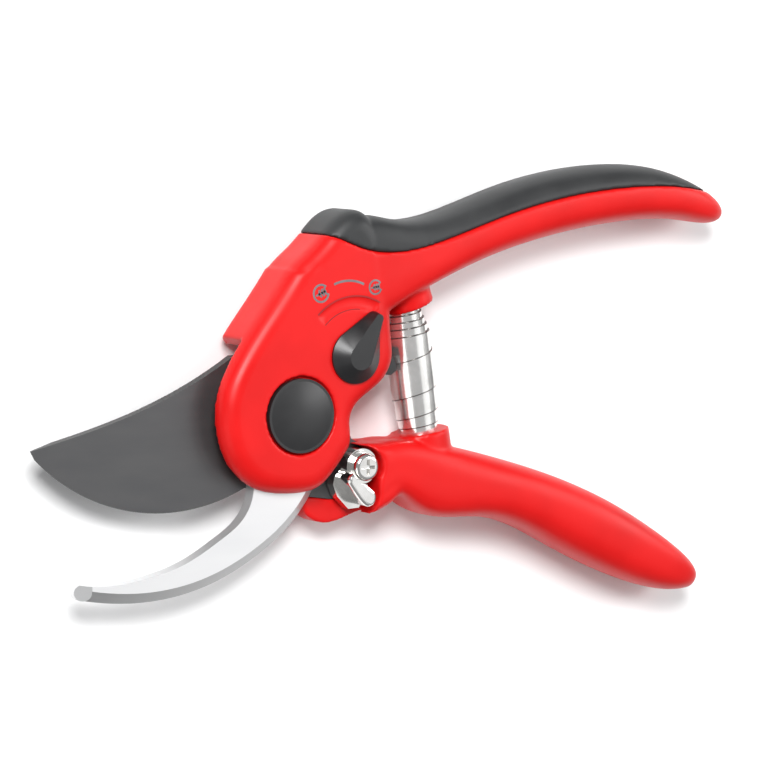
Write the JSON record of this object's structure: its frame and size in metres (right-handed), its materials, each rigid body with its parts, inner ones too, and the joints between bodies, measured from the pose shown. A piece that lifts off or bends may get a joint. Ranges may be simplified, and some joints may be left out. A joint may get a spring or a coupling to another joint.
{
  "type": "pruning shears",
  "caption": "Bypass pruning shears with a curved blade, hooked counter blade, barrel return spring, thumb latch and opening dial.",
  "frame": {"origin": "pivot axis where it meets the resting plane, at the flat back of the pivot nut's cap", "axes": "+Z along the pivot axis from the back to the front side, +X from the jaws towards the handles, +Y towards the upper handle; the shears lie flat and open"},
  "size_m": [0.209, 0.1168, 0.0224],
  "materials": {
    "red_shell": "satin moulded",
    "soft_grip": "matte soft-touch",
    "blade_steel": "dark coated",
    "hook_steel": "satin ground",
    "bright_steel": "polished plating",
    "plain_steel": "plain zinc plated",
    "black_plastic": "satin",
    "bumper_rubber": "matte",
    "bronze": "sintered"
  },
  "bodies": {
    "upper_handle": {"upper_handle": "red_shell", "soft_grip": "soft_grip", "hook": "hook_steel", "hook_rivets": "plain_steel", "pivot_bolt": "plain_steel", "pivot_washer": "plain_steel", "pivot_nut": "plain_steel", "pivot_cap": "black_plastic", "nut_cap": "black_plastic", "close_bumper": "bumper_rubber", "detent_ball": "bright_steel", "detent_spring": "plain_steel", "return_spring": "bright_steel"},
    "lower_handle": {"lower_handle": "red_shell", "blade": "blade_steel", "blade_rivets": "plain_steel", "pivot_bush": "bronze", "latch_insert": "bronze", "latch_washer": "bright_steel", "latch_screw": "bright_steel"},
    "thumb_latch": {"thumb_latch": "bright_steel"},
    "adjuster": {"adjuster_knob": "black_plastic", "adjuster_shaft": "plain_steel", "adjuster_washer": "plain_steel", "adjuster_screw": "plain_steel"}
  },
  "joints": [
    {"name": "handle_pivot", "type": "hinge", "parent": "upper_handle", "child": "lower_handle", "pos_m": [0, 0, 0.0085], "axis": [0, 0, 1], "range_deg": [0, 29], "stiffness_Nm_per_rad": 1.5, "springref_deg": -17.19, "deforming": ["return_spring"]},
    {"name": "latch_pivot", "type": "hinge", "parent": "lower_handle", "child": "thumb_latch", "pos_m": [0.02, -0.014, 0.0125], "axis": [0, 0, 1], "range_deg": [-30, 0]},
    {"name": "adjuster_turn", "type": "hinge", "parent": "upper_handle", "child": "adjuster", "pos_m": [0.0156, 0.0147, 0.0125], "axis": [0, 0, 1], "range_deg": [0, 80]}
  ]
}
